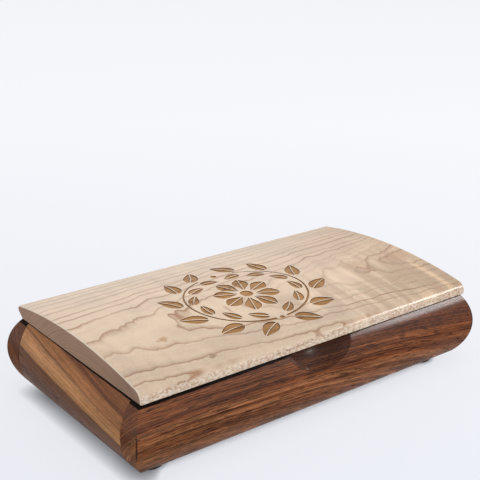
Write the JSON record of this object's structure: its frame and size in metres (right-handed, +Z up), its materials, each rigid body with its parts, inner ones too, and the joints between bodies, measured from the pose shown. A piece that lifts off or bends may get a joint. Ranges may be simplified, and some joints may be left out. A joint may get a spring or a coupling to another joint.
{
  "type": "keepsake box",
  "caption": "Low rectangular keepsake box with bulged wooden sides and an arched lid on two butt hinges at the back.",
  "frame": {"origin": "on the table, under the middle of the body, at the bottom centre of the box's bounding box", "axes": "+X along the length, -Y the front with the thumb scoop, +Y the hinge side, +Z up"},
  "size_m": [0.22, 0.119, 0.0525],
  "materials": {
    "walnut": "satin oil finish, grain along the length",
    "walnut_end": "satin oil finish, with a pale sapwood band",
    "bottom_ply": "plain veneered panel",
    "maple": "satin, curly figure",
    "brass": "satin",
    "felt": "felt",
    "rubber": "matte"
  },
  "bodies": {
    "box": {"front_board": "walnut", "back_board": "walnut", "left_end_board": "walnut_end", "right_end_board": "walnut_end", "bottom_panel": "bottom_ply", "left_hinge_box_leaf": "brass", "left_hinge_pin": "brass", "left_hinge_box_screws": "brass", "right_hinge_box_leaf": "brass", "right_hinge_pin": "brass", "right_hinge_box_screws": "brass", "rim_pad_left": "felt", "rim_pad_right": "felt", "foot_front_left": "rubber", "foot_front_right": "rubber", "foot_back_left": "rubber", "foot_back_right": "rubber"},
    "lid": {"lid_panel": "maple", "left_hinge_lid_leaf": "brass", "left_hinge_lid_screws": "brass", "right_hinge_lid_leaf": "brass", "right_hinge_lid_screws": "brass"}
  },
  "joints": [
    {"name": "lid_hinge", "type": "hinge", "parent": "box", "child": "lid", "pos_m": [0, 0.05247, 0.04085], "axis": [-1, 0, 0], "range_deg": [0, 96]}
  ]
}
